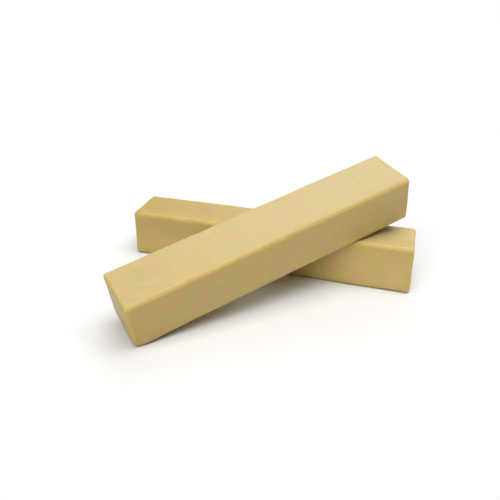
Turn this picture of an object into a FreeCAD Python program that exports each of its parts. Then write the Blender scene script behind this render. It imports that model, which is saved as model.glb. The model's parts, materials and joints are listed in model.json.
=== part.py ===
import FreeCAD, Part
import Sketcher
import math
import os

# Two detailing clay bars laid crosswise, in millimetres, +Z up.
# Each bar is one solid length of clay, pressed through a die as a square-sided strand with rounded long
# edges and cut off at both ends. The lower bar lies flat. The upper bar stands on the floor with the lowest
# corner of one end and leans with its underside on the long top edge of the lower bar.
# The origin is the centre of the lower bar's underside, with +X along the lower bar.

doc = FreeCAD.newDocument("crossed_clay_bars")

# ---- Driving dimensions -------------------------------------------------------------------------------

SIZES = [
    ("bar_length", 168.0, "length of one bar, between its cut ends"),
    ("bar_width", 30.8, "width across the face it lies on"),
    ("bar_height", 27.5, "height as it lies"),
    ("edge_radius", 2.4, "rounding of the four long edges, from the die"),
    ("end_radius", 1.6, "rounding of the rims of the cut ends"),
    ("crossing_angle", 46.7, "degrees from the lower bar's length to the upper one's, seen from above"),
    ("lean_angle", 16.5, "degrees that the upper bar's underside rises across the lower bar"),
    ("crossing_place", 36.6, "where the upper bar's centre line passes over the front of the lower bar"),
    ("contact_gap", 0.2, "clearance where the upper bar leans, because the two bars are separate bodies"),
]

sheet = doc.addObject("Spreadsheet::Sheet", "sizes")
for row, (alias, number, meaning) in enumerate(SIZES, start=1):
    sheet.set(f"A{row}", alias)
    sheet.set(f"B{row}", str(number))
    sheet.set(f"C{row}", meaning)
    sheet.setAlias(f"B{row}", alias)
doc.recompute()


# ---- One bar: a die profile, pushed out to length, with the rims of its cut ends eased ------------------

def origin_plane(body, role):
    """The body's own origin plane that has this role."""
    return next(feature for feature in body.Origin.OriginFeatures if feature.Role == role)


def die_profile(sketch):
    """The die's opening: a rectangle that stands on the sketch's horizontal axis, centred on the vertical
    one, with a quarter circle at each corner. Bound to the sheet's width, height and edge radius."""
    half_width = sheet.bar_width / 2
    height = sheet.bar_height
    radius = sheet.edge_radius
    corner_centres = [
        (half_width - radius, radius),
        (half_width - radius, height - radius),
        (radius - half_width, height - radius),
        (radius - half_width, radius),
    ]
    normal = FreeCAD.Vector(0, 0, 1)
    arcs = []
    for quarter, (across, up) in enumerate(corner_centres):
        start = (quarter - 1) * math.pi / 2
        circle = Part.Circle(FreeCAD.Vector(across, up, 0), normal, radius)
        arcs.append(Part.ArcOfCircle(circle, start, start + math.pi / 2))
    # Side 0 is the bottom, and the others follow counterclockwise; arc n joins side n to side n + 1.
    sides = [Part.LineSegment(arcs[side - 1].EndPoint, arcs[side].StartPoint) for side in range(4)]
    line = [sketch.addGeometry(side, False) for side in sides]
    arc = [sketch.addGeometry(corner, False) for corner in arcs]

    bottom, right, top, left = line
    start_point, end_point = 1, 2
    horizontal_axis, vertical_axis = -1, -2
    for corner in range(4):
        following = line[(corner + 1) % 4]
        sketch.addConstraint(Sketcher.Constraint("Tangent", line[corner], end_point, arc[corner], start_point))
        sketch.addConstraint(Sketcher.Constraint("Tangent", arc[corner], end_point, following, start_point))
    for corner in range(1, 4):
        sketch.addConstraint(Sketcher.Constraint("Equal", arc[0], arc[corner]))
    sketch.addConstraint(Sketcher.Constraint("Symmetric", bottom, start_point, bottom, end_point, vertical_axis))
    sketch.addConstraint(Sketcher.Constraint("PointOnObject", bottom, start_point, horizontal_axis))
    sketch.addConstraint(Sketcher.Constraint("Horizontal", top))
    sketch.addConstraint(Sketcher.Constraint("Vertical", right))
    sketch.addConstraint(Sketcher.Constraint("Vertical", left))

    sized = [
        ("width", Sketcher.Constraint("DistanceX", left, start_point, right, start_point, 2 * half_width)),
        ("height", Sketcher.Constraint("DistanceY", bottom, start_point, top, start_point, height)),
        ("radius", Sketcher.Constraint("Radius", arc[0], radius)),
    ]
    bound_to = {"width": "bar_width", "height": "bar_height", "radius": "edge_radius"}
    for name, constraint in sized:
        index = sketch.addConstraint(constraint)
        sketch.renameConstraint(index, name)
        sketch.setExpression(f"Constraints.{name}", f"sizes.{bound_to[name]}")


def rim_edges(shape):
    """The names of the edges that lie flat in a cut end: they have no extent along X."""
    flat = 1e-6
    return [f"Edge{n}" for n, edge in enumerate(shape.Edges, start=1) if edge.BoundBox.XLength < flat]


def clay_bar(name):
    """One bar, centred on X = 0 with its underside at Z = 0: the strand and its two eased rims."""
    body = doc.addObject("PartDesign::Body", name)
    body.Label = name
    profile = body.newObject("Sketcher::SketchObject", f"{name}_profile")
    profile.AttachmentSupport = [(origin_plane(body, "YZ_Plane"), "")]
    profile.MapMode = "FlatFace"
    die_profile(profile)

    strand = body.newObject("PartDesign::Pad", f"{name}_strand")
    strand.Profile = profile
    strand.SideType = "Symmetric"
    strand.setExpression("Length", "sizes.bar_length")
    doc.recompute()

    rims = body.newObject("PartDesign::Fillet", f"{name}_rims")
    rims.Base = (strand, rim_edges(strand.Shape))
    rims.setExpression("Radius", "sizes.end_radius")
    body.Tip = rims
    doc.recompute()
    return body


# ---- Where the upper bar lies ---------------------------------------------------------------------------

def reach(direction):
    """How far a bar goes from its centre in a unit direction of its own axes. With its rims and edges
    rounded it is a smaller body grown by the end radius, so the reach is the smaller body's own plus it:
    the half length, and in the section the rectangle between the edge centres and the rest of the edge
    radius around them."""
    half_length = sheet.bar_length / 2 - sheet.end_radius
    half_width = sheet.bar_width / 2 - sheet.edge_radius
    half_height = sheet.bar_height / 2 - sheet.edge_radius
    section = half_width * abs(direction.y) + half_height * abs(direction.z)
    round_part = (sheet.edge_radius - sheet.end_radius) * math.hypot(direction.y, direction.z)
    return half_length * abs(direction.x) + section + round_part + sheet.end_radius


def leaning_placement():
    """The upper bar's placement. Its underside is parallel to the lower bar's length and rises at the lean
    angle across it. Two contacts then set its height and its place across: its lowest corner is on the
    floor, and its underside clears the rounding of the lower bar's front top edge by the contact gap."""
    crossing = math.radians(sheet.crossing_angle)
    lean = math.radians(sheet.lean_angle)
    normal = FreeCAD.Vector(0, -math.sin(lean), math.cos(lean))
    slope = math.sin(crossing) * math.tan(lean)
    along = FreeCAD.Vector(math.cos(crossing), math.sin(crossing), slope).normalize()
    rotation = FreeCAD.Rotation(along, normal.cross(along), normal, "ZXY")

    centre_up = reach(rotation.inverted().multVec(FreeCAD.Vector(0, 0, -1)))

    front = -sheet.bar_width / 2
    edge_centre = FreeCAD.Vector(0, front + sheet.edge_radius, sheet.bar_height - sheet.edge_radius)
    above_edge_centre = sheet.edge_radius + sheet.contact_gap + sheet.bar_height / 2
    level = normal.dot(edge_centre) + above_edge_centre
    centre_across = (centre_up * normal.z - level) / -normal.y
    centre_along = sheet.crossing_place - (front - centre_across) / math.tan(crossing)

    centre = FreeCAD.Vector(centre_along, centre_across, centre_up)
    return FreeCAD.Placement(centre - normal * (sheet.bar_height / 2), rotation)


lower_bar = clay_bar("lower_bar")
upper_bar = clay_bar("upper_bar")
upper_bar.Placement = leaning_placement()
doc.recompute()

# ---- Checks, then one STEP file for each bar ---------------------------------------------------------------

for item in doc.Objects:
    if "Invalid" in item.State or "Error" in item.State:
        raise RuntimeError(f"{item.Name} failed to recompute: {item.State}")

bars = [lower_bar, upper_bar]
corner_loss = (4 - math.pi) * sheet.edge_radius**2
strand_volume = (sheet.bar_width * sheet.bar_height - corner_loss) * sheet.bar_length
for bar in bars:
    if bar.Shape.isNull() or not bar.Shape.isValid() or len(bar.Shape.Solids) != 1:
        raise RuntimeError(f"{bar.Label} is not one valid solid")
    rim_share = 1 - bar.Shape.Volume / strand_volume
    if not 0 < rim_share < 0.005:
        raise RuntimeError(f"{bar.Label}: its rims take off {rim_share:.4f} of its volume")

clearance = lower_bar.Shape.distToShape(upper_bar.Shape)[0]
if abs(clearance - sheet.contact_gap) > 0.01:
    raise RuntimeError(f"the bars are {clearance:.3f} mm apart")
lowest = upper_bar.Shape.optimalBoundingBox(False).ZMin
if abs(lowest) > 0.01:
    raise RuntimeError(f"the upper bar's lowest corner is at {lowest:.3f} mm")

os.makedirs("parts", exist_ok=True)
for bar in bars:
    bar.Shape.exportStep(f"parts/{bar.Label}.step")
    box = bar.Shape.optimalBoundingBox(False)
    print(bar.Label, f"{bar.Shape.Volume / 1000:.1f} cm3", "placed at", bar.Placement.Base)
    print("  from", [round(v, 2) for v in (box.XMin, box.YMin, box.ZMin)])
    print("  to  ", [round(v, 2) for v in (box.XMax, box.YMax, box.ZMax)])
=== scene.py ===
import json
import math

import bpy
import numpy as np
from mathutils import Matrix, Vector


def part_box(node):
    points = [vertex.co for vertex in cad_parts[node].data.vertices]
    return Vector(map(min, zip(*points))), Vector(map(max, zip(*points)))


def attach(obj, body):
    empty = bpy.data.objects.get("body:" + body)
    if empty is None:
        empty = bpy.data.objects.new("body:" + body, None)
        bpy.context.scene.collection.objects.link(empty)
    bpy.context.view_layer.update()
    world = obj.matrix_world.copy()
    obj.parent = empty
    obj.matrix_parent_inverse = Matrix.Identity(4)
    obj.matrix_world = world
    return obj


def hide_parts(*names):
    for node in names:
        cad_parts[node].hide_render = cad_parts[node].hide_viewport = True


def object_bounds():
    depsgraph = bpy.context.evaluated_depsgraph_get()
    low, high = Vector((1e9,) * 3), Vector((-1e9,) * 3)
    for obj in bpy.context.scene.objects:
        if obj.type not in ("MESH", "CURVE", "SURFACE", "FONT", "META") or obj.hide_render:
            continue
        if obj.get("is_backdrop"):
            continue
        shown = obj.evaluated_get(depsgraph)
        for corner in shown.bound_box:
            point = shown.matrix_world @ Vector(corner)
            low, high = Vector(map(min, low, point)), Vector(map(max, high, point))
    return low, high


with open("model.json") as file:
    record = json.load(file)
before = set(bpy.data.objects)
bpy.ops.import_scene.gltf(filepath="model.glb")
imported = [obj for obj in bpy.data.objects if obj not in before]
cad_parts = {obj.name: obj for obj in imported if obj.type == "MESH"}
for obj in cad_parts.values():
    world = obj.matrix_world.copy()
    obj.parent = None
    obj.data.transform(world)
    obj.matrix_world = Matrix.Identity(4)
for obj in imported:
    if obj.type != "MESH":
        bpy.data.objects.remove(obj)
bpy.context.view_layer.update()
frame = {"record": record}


# ---- The two clay bars ----------------------------------------------------------------------------------
# Two lengths of one strand of detailing clay: a soft, waxy resin dough full of fine abrasive, tan all
# through. It is pushed through a square die with rounded corners, which leaves faint lines along it, and a
# blade chops it to length, not quite square. The bars lie loose, and nothing fastens them.

# The rounding of the long edges and of the rims of the cut ends, and how finely the surface is stepped.
EDGE_RADIUS = 0.0024
RIM_RADIUS = 0.0016
FLAT_STEP = 0.00056
CORNER_STEPS = 12
RIM_STEPS = 7


def random_waves(points, wavelength, count, seed):
    """A smooth random height for each point, mostly between -1 and 1: the sum of sine waves that each run
    in a random direction, have a length within a third of the wavelength asked for, and start anywhere,
    divided by the root of twice their number."""
    rng = np.random.default_rng(seed)
    direction = rng.normal(size=(count, 3))
    direction /= np.linalg.norm(direction, axis=1)[:, None]
    waves = direction * (2 * np.pi / (wavelength * rng.uniform(0.75, 1.35, count)))[:, None]
    start = rng.uniform(0, 2 * np.pi, count)
    return np.sin(points @ waves.T + start).sum(axis=1) / math.sqrt(2 * count)


def die_ring(width, height):
    """The die's rounded rectangle, as arrays along its outline: the centre line that the corners turn
    about, and the outward direction. A point of the outline is core + radius * outward. On a flat side the
    core moves from corner centre to corner centre and the direction stays; round a corner it is the
    other way about."""
    half = np.array([width / 2 - EDGE_RADIUS, height / 2 - EDGE_RADIUS])
    corner_signs = np.array([(1, -1), (1, 1), (-1, 1), (-1, -1)])
    core, angle = [], []
    for quarter in range(4):
        here = corner_signs[quarter] * half
        following = corner_signs[(quarter + 1) % 4] * half
        turn = (quarter - 1 + np.arange(CORNER_STEPS + 1) / CORNER_STEPS) * math.pi / 2
        core.append(np.tile(here, (CORNER_STEPS + 1, 1)))
        angle.append(turn)
        steps = round(np.linalg.norm(following - here) / FLAT_STEP)
        share = (np.arange(1, steps) / steps)[:, None]
        core.append(here + share * (following - here))
        angle.append(np.full(steps - 1, turn[-1]))
    core, angle = np.concatenate(core), np.concatenate(angle)
    return core, np.stack([np.cos(angle), np.sin(angle)], axis=1)


def bar_grid(length, width, height):
    """A bar's smooth surface on a grid of stations by ring points, about its own centre: the die ring is
    carried along the strand, shrinks round a quarter circle at each rim, and then shrinks to the middle of
    the cut end. Returns places, outward normals, and for each row how much of it is cut end."""
    core, outward = die_ring(width, height)
    quarter = np.arange(1, RIM_STEPS + 1) / RIM_STEPS * math.pi / 2
    end_rows = round(height / 2 / FLAT_STEP)
    shrink = 1 - np.arange(1, end_rows) / end_rows
    side_rows = round((length - 2 * RIM_RADIUS) / FLAT_STEP)
    side = np.linspace(0, length / 2 - RIM_RADIUS, side_rows // 2 + 1)

    # From the middle of the bar to one end: where each row is, how it leans outward, and its scale.
    along = np.concatenate([side, side[-1] + RIM_RADIUS * np.sin(quarter), np.full(end_rows - 1, length / 2)])
    lean = np.concatenate([np.zeros(len(side)), quarter, np.full(end_rows - 1, math.pi / 2)])
    scale = np.concatenate([np.ones(len(side) + RIM_STEPS), shrink])
    # The other half is its mirror image, so the rows run from one cut end to the other.
    along = np.concatenate([-along[:0:-1], along])
    lean = np.concatenate([lean[:0:-1], lean])
    scale = np.concatenate([scale[:0:-1], scale])

    reach = EDGE_RADIUS - RIM_RADIUS + RIM_RADIUS * np.cos(lean)
    section = scale[:, None, None] * (core[None] + reach[:, None, None] * outward[None])
    row_shape = section.shape[:2] + (1,)
    places = np.concatenate([np.broadcast_to(along[:, None, None], row_shape), section], axis=2)
    end_lean = np.sign(along) * np.sin(lean)
    normals = np.concatenate([
        np.broadcast_to(end_lean[:, None, None], row_shape),
        np.cos(lean)[:, None, None] * outward[None],
    ], axis=2)
    return places, normals, np.sin(lean) ** 2


def grid_faces(rows, columns):
    """Four-sided faces between neighbouring rows of a grid that closes on itself along each row, and a
    fan of triangles from each of two poles, which come after the grid's own points."""
    row, column = np.meshgrid(np.arange(rows - 1), np.arange(columns), indexing="ij")
    following = (column + 1) % columns
    here, there = row * columns, (row + 1) * columns
    quads = np.stack([here + column, here + following, there + following, there + column], axis=-1)
    ring = np.arange(columns)
    after = (ring + 1) % columns
    last = (rows - 1) * columns
    first_pole, last_pole = rows * columns, rows * columns + 1
    low_fan = np.stack([after, ring, np.full(columns, first_pole)], axis=1)
    high_fan = np.stack([last + ring, last + after, np.full(columns, last_pole)], axis=1)
    return quads.reshape(-1, 4), np.concatenate([low_fan, high_fan])


def hand_relief(strand, cut, seed):
    """How far handling and cutting move the surface along its normal, in metres: slow swells along the
    strand, shallow hollows, lumps of skin, die lines that run along the strand on its sides, and on a cut
    end the blade's ridges across its stroke and drag lines along it. Outward it levels off at a limit,
    with the formula limit * tanh(height / limit), because the die and the bench hold it in."""
    swell = random_waves(strand * (1, 1.6, 1.6), 0.055, 24, seed)
    hollows = random_waves(strand, 0.013, 40, seed + 1)
    skin = random_waves(strand, 0.0032, 60, seed + 2)
    die_lines = random_waves(strand * (0.03, 1, 1), 0.0022, 40, 7)

    # The blade goes through at 20 degrees to the upright. Its ridges are 1.9 mm apart and wander a little,
    # and its drag lines are waves that are drawn out along the stroke.
    stroke = np.array([0.0, 0.34, 0.94])
    across_stroke = np.array([0.0, 0.94, -0.34])
    wander = 2.2 * random_waves(strand, 0.012, 20, seed + 3)
    ridges = np.sin(strand @ stroke * 2 * np.pi / 0.0019 + wander)
    drawn_out = strand * (1, 0.12, 0.12) + (strand @ across_stroke)[:, None] * across_stroke
    drag = random_waves(drawn_out, 0.0016, 40, seed + 4)

    height = (0.00020 * swell + 0.00009 * hollows + 0.000028 * skin
              + 0.00004 * die_lines * (1 - cut) + (0.00003 * ridges + 0.00004 * drag) * cut)
    limit = 0.00016
    return np.where(height > 0, limit * np.tanh(height / limit), height)


def bells(places, patches):
    """The sum of bell curves, one for each patch, of the distance from its middle. A patch is its middle,
    its radius, how many times longer it is along the strand, and its height at the middle."""
    total = np.zeros(len(places))
    for along, across, up, radius, stretch, height in patches:
        offset = (places - (along, across, up)) / (radius * stretch, radius, radius)
        total += height * np.exp(-(offset ** 2).sum(axis=1))
    return total


def edge_distance(places, size):
    """How far a point of the surface is from the nearest edge: the second smallest of its depths under the
    bar's three pairs of faces."""
    return np.sort(size / 2 - np.abs(places), axis=1)[:, 1]


def grid_object(name, points, rows, columns, values):
    """A smooth closed object from a grid's points and its two poles. Values are painted on the points: a
    number or a vector for each, under the name that the material reads."""
    quads, fans = grid_faces(rows, columns)
    corners = np.concatenate([quads.ravel(), fans.ravel()]).astype(np.int32)
    starts = np.concatenate([
        np.arange(len(quads)) * 4,
        len(quads) * 4 + np.arange(len(fans)) * 3,
    ]).astype(np.int32)
    mesh = bpy.data.meshes.new(name)
    mesh.vertices.add(len(points))
    mesh.vertices.foreach_set("co", points.astype(np.float32).ravel())
    mesh.loops.add(len(corners))
    mesh.loops.foreach_set("vertex_index", corners)
    mesh.polygons.add(len(starts))
    mesh.polygons.foreach_set("loop_start", starts)
    mesh.polygons.foreach_set("use_smooth", np.ones(len(starts), bool))
    mesh.update(calc_edges=True)
    mesh.validate()
    for attribute, painted in values.items():
        kind, field = ("FLOAT", "value") if painted.ndim == 1 else ("FLOAT_VECTOR", "vector")
        made = mesh.attributes.new(attribute, kind, "POINT")
        made.data.foreach_set(field, painted.astype(np.float32).ravel())
    thing = bpy.data.objects.new(name, mesh)
    bpy.context.scene.collection.objects.link(thing)
    return thing


def clay_bar(name, centre, along, up, strand_start, skew, seed, dents, painted_shading, dust_and_sheen):
    """One bar as a closed mesh in place. Its relief is worked out where the bar was in the strand. Its
    length is sheared by the skew of its cuts, and it is set down with its length along one direction and
    its broad face up. Dents are hollows in metres. The next argument paints slow patches: painted shade where
    it is above 0 and painted light where it is below 0. The last one is how much pale dust and painted sheen
    its broad face has, from one end to the other."""
    low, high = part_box("lower_bar")
    size = np.array(high - low)
    places, normals, cut_rows = bar_grid(*size)
    rows, columns = places.shape[:2]
    cut = np.repeat(cut_rows, columns)
    poles = np.array([(-size[0] / 2, 0, 0), (size[0] / 2, 0, 0)])
    places = np.concatenate([places.reshape(-1, 3), poles])
    normals = np.concatenate([normals.reshape(-1, 3), np.sign(poles)])
    cut = np.concatenate([cut, [1, 1]])
    # Within 3.2 mm of an edge the colour is painted a deeper amber: painted light for light shining through
    # the thin clay there, and painted shade that dims the rounded edges' highlight. The flats ease down by up
    # to 0.22 mm over the last 2 mm, because the die drags on the clay there.
    from_edge = edge_distance(places, size)
    edge = np.exp(-(from_edge / 0.0032) ** 2)
    ease = 0.00022 * np.exp(-from_edge / 0.0020)
    # How much pale dust and painted sheen, which is painted light, the broad face gets, changing evenly from
    # one end to the other.
    broad = dust_and_sheen[0] + (dust_and_sheen[1] - dust_and_sheen[0]) * (0.5 + places[:, 0] / size[0])

    places[:, 0] += skew * places[:, 1]
    strand = places + (strand_start, 0, 0)
    dent = bells(places, dents)
    relief = hand_relief(strand, cut, seed)
    # Nothing stands out of the underside or goes below the table.
    underside = normals[:, 2] < -0.5
    relief = np.where(underside, np.minimum(relief, 0), relief) - dent - ease
    axes = np.stack([along, np.cross(up, along), up])
    points = np.array(centre) + (places + normals * relief[:, None]) @ axes
    points[:, 2] = np.maximum(points[:, 2], 0)
    # Soft clay sinks until it touches the table: the lowest point comes down all the way, and the drop dies
    # away as a bell curve, which is 6 mm wide, of the height above that point.
    lowest = points[:, 2].min()
    points[:, 2] -= lowest * np.exp(-((points[:, 2] - lowest) / 0.006) ** 2)

    # A dent holds as much grime as it can once it is 0.4 mm deep.
    return grid_object(name, points, rows, columns, {
        "strand": strand,
        "edge": edge,
        "cut": cut,
        "dent": np.minimum(dent / 0.0004, 1),
        # Slow patches of painted shade where this is above 0 and painted light where it is below 0.
        "painted_shading": bells(places, painted_shading),
        # Pale dust and painted sheen, which is painted light, on faces that look up.
        "dust_and_sheen": broad * np.maximum(normals[:, 2], 0) ** 4,
    })


class Wire:
    """A socket in the clay's node tree. Sums, differences and products of wires add their Math nodes, and
    node() adds any other node."""

    def __init__(self, tree, socket=None):
        self.tree = tree
        self.socket = socket

    def node(self, kind, settings, inputs, output=0):
        """A node of this type: its settings are set first, then its sockets get their values or links."""
        made = self.tree.nodes.new(kind)
        for name, setting in settings.items():
            setattr(made, name, setting)
        for name, value in inputs.items():
            if isinstance(value, Wire):
                self.tree.links.new(value.socket, made.inputs[name])
            else:
                made.inputs[name].default_value = value
        return Wire(self.tree, made.outputs[output] if made.outputs else None)

    def worked(self, operation, first, second):
        """A Math node."""
        return self.node("ShaderNodeMath", {"operation": operation}, {0: first, 1: second})

    def __add__(self, other):
        return self.worked("ADD", self, other)

    __radd__ = __add__

    def __sub__(self, other):
        return self.worked("SUBTRACT", self, other)

    def __rsub__(self, other):
        return self.worked("SUBTRACT", other, self)

    def __mul__(self, other):
        return self.worked("MULTIPLY", self, other)

    __rmul__ = __mul__


def clay_finish():
    """The clay's material. Its patterns are read at the place in the strand, so they run through from the
    sides to the cut ends: yellower and pinker blotches of dough, pale flecks, dark grains of abrasive,
    streaks along the die lines, grime in the finger dents and smudges, slow patches of painted shade and
    painted light near the ends, cut ends painted darker and greyer, partly as their own colour and partly as
    painted shade, pale dust with a painted sheen on a broad face, and a deeper amber painted along the edges
    for light shining through the thin clay, which also dims their highlight."""
    material = bpy.data.materials.new("tan_clay")
    material.use_nodes = True
    tree = material.node_tree
    tree.nodes.clear()
    clay = Wire(tree)

    def painted(attribute, output):
        """An attribute of the mesh."""
        return clay.node("ShaderNodeAttribute", {"attribute_name": attribute}, {}, output)

    def cloud(at, scale, detail, roughness=0.5):
        """Soft noise from 0 to 1, at this many waves in a metre."""
        return clay.node("ShaderNodeTexNoise", {"noise_dimensions": "3D"},
                         {"Vector": at, "Scale": scale, "Detail": detail, "Roughness": roughness}, "Fac")

    def between(low, high, wire):
        """0 where the wire is below low and 1 where it is above high, with a smooth rise between."""
        return clay.node("ShaderNodeMapRange", {"interpolation_type": "SMOOTHSTEP"},
                         {"Value": wire, "From Min": low, "From Max": high})

    def tinted(mask, under, over):
        """The colour over, laid on the colour under as much as the mask says. A Mix node's colours are its
        sockets 6 and 7, and its result in colour is socket 2."""
        return clay.node("ShaderNodeMix", {"data_type": "RGBA"}, {0: mask, 6: under, 7: over}, 2)

    place = painted("strand", "Vector")
    edge, cut, dent = painted("edge", "Fac"), painted("cut", "Fac"), painted("dent", "Fac")
    painted_shading, dust_and_sheen = painted("painted_shading", "Fac"), painted("dust_and_sheen", "Fac")
    side = 1 - cut
    drawn_out = clay.node("ShaderNodeVectorMath", {"operation": "MULTIPLY"}, {0: place, 1: (0.035, 1.0, 1.0)})

    blotches = between(0.38, 0.62, cloud(place, 175.0, 2.5))
    flecks = between(0.38, 0.62, cloud(place, 420.0, 3.0))
    streaks = cloud(drawn_out, 900.0, 2.0)
    grain = cloud(place, 2600.0, 2.0, 0.6)
    specks = between(0.70, 0.80, cloud(place, 1500.0, 1.0))
    lumps = between(0.63, 0.75, cloud(place, 380.0, 1.0))
    pits = between(0.64, 0.74, 1 - cloud(place, 300.0, 1.0))
    smudges = between(0.58, 0.74, cloud(place, 62.0, 2.0))
    dust_and_sheen_mottle = cloud(place, 110.0, 4.0)

    yellow_tan = (0.500, 0.403, 0.104, 1.0)
    pink_tan = (0.562, 0.368, 0.138, 1.0)
    pale = (0.560, 0.430, 0.175, 1.0)
    streak = (0.555, 0.390, 0.125, 1.0)
    dark_grain = (0.330, 0.240, 0.070, 1.0)
    grime = (0.390, 0.330, 0.150, 1.0)
    cut_face = (0.395, 0.322, 0.152, 1.0)
    amber = (0.460, 0.336, 0.080, 1.0)
    # The next two colours are painted shade and painted light, laid on slow patches to stand for how the
    # light falls.
    painted_shade = (0.420, 0.305, 0.105, 1.0)
    painted_light = (0.690, 0.540, 0.200, 1.0)
    # Pale dust with a painted sheen: painted light on the broad face.
    dusty_sheen = (0.540, 0.486, 0.345, 1.0)

    colour = tinted(blotches, yellow_tan, pink_tan)
    colour = tinted(flecks * 0.25, colour, pale)
    colour = tinted(between(0.45, 0.75, streaks) * side * 0.18, colour, streak)
    colour = tinted(specks * 0.40, colour, dark_grain)
    # The cut ends are painted darker and greyer: partly their own colour, partly painted shade.
    colour = tinted(cut * 0.50, colour, cut_face)
    # Painted shade, then painted light, in the slow patches.
    colour = tinted(painted_shading * 0.35, colour, painted_shade)
    colour = tinted(painted_shading * -0.35, colour, painted_light)
    colour = tinted(smudges * 0.16 + dent * 0.22, colour, grime)
    # Painted light and shade: a deeper amber along the edges for light shining through the thin clay, darker
    # to dim the edges' highlight.
    colour = tinted(edge * 0.45, colour, amber)
    # Painted sheen, with some pale dust, on the broad face.
    colour = tinted(dust_and_sheen * (0.15 + 0.33 * dust_and_sheen_mottle), colour, dusty_sheen)

    roughness = 0.36 + 0.06 * grain + 0.10 * smudges + 0.10 * cut + 0.28 * edge
    height = 0.5 * grain + 0.35 * flecks + 0.5 * streaks * side - 0.6 * specks + 2.0 * lumps - 1.7 * pits
    bump = clay.node("ShaderNodeBump", {}, {"Strength": 0.5, "Distance": 0.00014, "Height": height}, "Normal")

    surface = clay.node("ShaderNodeBsdfPrincipled", {"subsurface_method": "RANDOM_WALK"}, {
        "Base Color": colour,
        "Roughness": roughness,
        "Normal": bump,
        "IOR": 1.50,
        "Subsurface Weight": 1.0,
        "Subsurface Radius": (1.0, 0.75, 0.30),
        "Subsurface Scale": 0.0042,
    })
    clay.node("ShaderNodeOutputMaterial", {}, {"Surface": surface})
    return material


tan_clay = clay_finish()


def finished(bar, node):
    """Gives a bar its clay and puts it in its CAD node's place."""
    bar.data.materials.append(tan_clay)
    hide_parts(node)
    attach(bar, node)


# The lower bar lies flat, at the back. The top of its left end is painted with shade, its front near the
# right end is painted with light, and its top gets more pale dust and painted sheen towards the right end.
low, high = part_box("lower_bar")
lower = clay_bar(
    "lower_clay_bar", centre=(low + high) / 2, along=(1, 0, 0), up=(0, 0, 1),
    strand_start=0.0, skew=-0.057, seed=11, dust_and_sheen=(0.0, 1.1),
    dents=[
        (-0.061, -0.0154, 0.003, 0.0035, 1.6, 0.00025),
        (-0.044, 0.004, 0.0137, 0.0050, 1.8, 0.00030),
        (0.070, -0.0154, -0.004, 0.0028, 1.2, 0.00025),
        (0.012, 0.0154, 0.002, 0.0060, 2.0, 0.00035),
    ],
    painted_shading=[(-0.084, 0.0, 0.0137, 0.020, 3.0, 1.5), (0.080, -0.0154, -0.004, 0.015, 2.5, -0.85)],
)
finished(lower, "lower_bar")

# The upper bar stands on one corner, which is blunted, and leans on the lower bar's long front edge. Its
# broad face has pale dust and a painted sheen all over, with a few dents together near the low end. The top
# of its low end and the front of its high end are painted with shade.
mounts = {mount["name"]: mount for mount in frame["record"]["mounts"]}
up = Vector(mounts["upper_bar_face"]["axis"]).normalized()
along = -Vector(mounts["upper_bar_low_end"]["axis"]).normalized()
upper = clay_bar(
    "upper_clay_bar", centre=Vector(mounts["upper_bar_face"]["pos_m"]) - up * (high.z - low.z) / 2,
    along=along, up=up, strand_start=0.175, skew=0.018, seed=23, dust_and_sheen=(0.75, 1.05),
    dents=[
        (-0.071, 0.004, 0.0137, 0.0035, 1.5, 0.00045),
        (-0.060, -0.003, 0.0137, 0.0028, 1.3, 0.00025),
        (-0.066, 0.003, 0.0137, 0.0011, 1.6, 0.00018),
        (-0.063, 0.000, 0.0137, 0.0010, 1.2, 0.00016),
        (-0.070, -0.002, 0.0137, 0.0012, 1.4, 0.00018),
        (-0.064, 0.007, 0.0137, 0.0011, 1.0, 0.00016),
        (0.020, 0.008, 0.0137, 0.0060, 2.0, 0.00030),
        (-0.030, -0.0154, 0.002, 0.0040, 2.2, 0.00030),
        (0.050, -0.0154, -0.005, 0.0030, 1.5, 0.00025),
        (0.035, 0.0154, 0.001, 0.0055, 1.8, 0.00035),
        (-0.084, -0.0154, -0.0137, 0.0038, 1.0, 0.00100),
    ],
    painted_shading=[(-0.084, 0.0, 0.0137, 0.020, 2.5, 0.5), (0.084, -0.0154, 0.0, 0.014, 3.0, 1.5)],
)
finished(upper, "upper_bar")


# ---- The table, the light and the camera --------------------------------------------------------------
# A plain pale table in front of a plain pale backdrop, under big soft studio lights: the main one overhead
# and a little in front, one overhead on the right, a weak low one from the left, and one behind that gives
# the tops their sheen. The backdrop only fills the view: it neither lights the bars nor shades them.

TABLE_REACH = 6.0


def staged(name, corners, faces, colour, glow):
    """A part of the set, from its corners and faces, in one plain matt colour that may glow."""
    mesh = bpy.data.meshes.new(name)
    mesh.from_pydata(corners, [], faces)
    material = bpy.data.materials.new("pale_" + name)
    material.use_nodes = True
    shader = material.node_tree.nodes["Principled BSDF"]
    shader.inputs["Base Color"].default_value = colour
    shader.inputs["Roughness"].default_value = 0.9
    shader.inputs["Specular IOR Level"].default_value = 0.0
    shader.inputs["Emission Color"].default_value = (1.0, 1.0, 1.0, 1.0)
    shader.inputs["Emission Strength"].default_value = glow
    mesh.materials.append(material)
    thing = bpy.data.objects.new(name, mesh)
    bpy.context.scene.collection.objects.link(thing)
    thing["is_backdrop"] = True
    return thing


def square(reach, up):
    """The corners of a level square about the origin."""
    return [(-reach, -reach, up), (reach, -reach, up), (reach, reach, up), (-reach, reach, up)]


def soft_sun(name, azimuth, elevation, strength, width):
    """A distant light. Azimuth and elevation are in degrees, azimuth 0 being in front and 90 to the right;
    its width is the angle in degrees that it fills in the sky."""
    light = bpy.data.lights.new(name, "SUN")
    light.energy = strength
    light.angle = math.radians(width)
    sun = bpy.data.objects.new(name, light)
    a, e = math.radians(azimuth), math.radians(elevation)
    back = Vector((math.sin(a) * math.cos(e), -math.cos(a) * math.cos(e), math.sin(e)))
    sun.rotation_mode = "QUATERNION"
    sun.rotation_quaternion = back.to_track_quat("Z", "Y")
    bpy.context.scene.collection.objects.link(sun)


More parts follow.
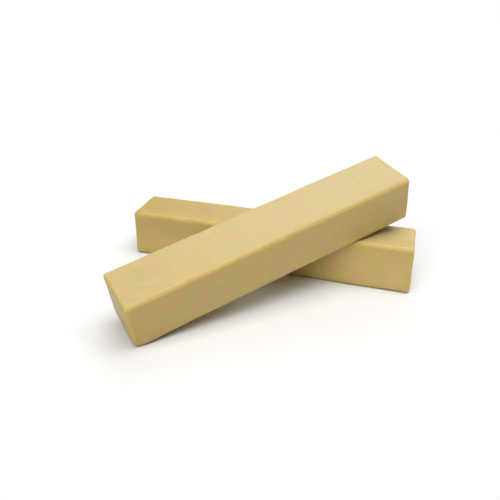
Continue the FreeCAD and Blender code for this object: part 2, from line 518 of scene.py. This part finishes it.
# The camera looks at its target from this many degrees round to the right and up, and this far away.
VIEW_AZIMUTH = 18.24
VIEW_ELEVATION = 26.12
VIEW_DISTANCE = 0.4031
VIEW_TARGET = Vector((-0.01665, 0.01031, 0.0))
LENS = 45.69

# The table is a hair under the bars, so that no faces share a plane.
staged("table", square(TABLE_REACH, -0.00005), [(0, 1, 2, 3)], (0.72, 0.72, 0.72, 1.0), glow=0.0)
walls = [(corner, (corner + 1) % 4, (corner + 1) % 4 + 4, corner + 4) for corner in range(4)]
backdrop = staged("backdrop", square(TABLE_REACH, -0.01) + square(TABLE_REACH, TABLE_REACH),
                  walls + [(7, 6, 5, 4)], (0.0, 0.0, 0.0, 1.0), glow=1.0)
backdrop.visible_diffuse = False
backdrop.visible_glossy = False
backdrop.visible_transmission = False
backdrop.visible_shadow = False

soft_sun("front_overhead", VIEW_AZIMUTH - 15, 61, 2.80, 60)
soft_sun("right_overhead", VIEW_AZIMUTH + 90, 65, 1.40, 40)
soft_sun("left_low", VIEW_AZIMUTH - 35, 22, 0.15, 40)
soft_sun("behind", VIEW_AZIMUTH + 178, 52, 0.74, 40)

world = bpy.data.worlds.new("studio")
world.use_nodes = True
sky = world.node_tree.nodes["Background"]
sky.inputs["Color"].default_value = (1.0, 1.0, 1.0, 1.0)
sky.inputs["Strength"].default_value = 0.01
bpy.context.scene.world = world
bpy.context.scene.view_settings.view_transform = "Standard"

lens = bpy.data.cameras.new("camera")
lens.lens = LENS
lens.sensor_width = 36.0
camera = bpy.data.objects.new("camera", lens)
azimuth, elevation = math.radians(VIEW_AZIMUTH), math.radians(VIEW_ELEVATION)
towards = Vector((
    math.sin(azimuth) * math.cos(elevation),
    -math.cos(azimuth) * math.cos(elevation),
    math.sin(elevation),
))
camera.location = VIEW_TARGET + towards * VIEW_DISTANCE
camera.rotation_mode = "QUATERNION"
camera.rotation_quaternion = towards.to_track_quat("Z", "Y")
bpy.context.scene.collection.objects.link(camera)
bpy.context.scene.camera = camera


# ---- The bounds of the shown pieces, without the table and backdrop ------------------------------------

low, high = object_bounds()
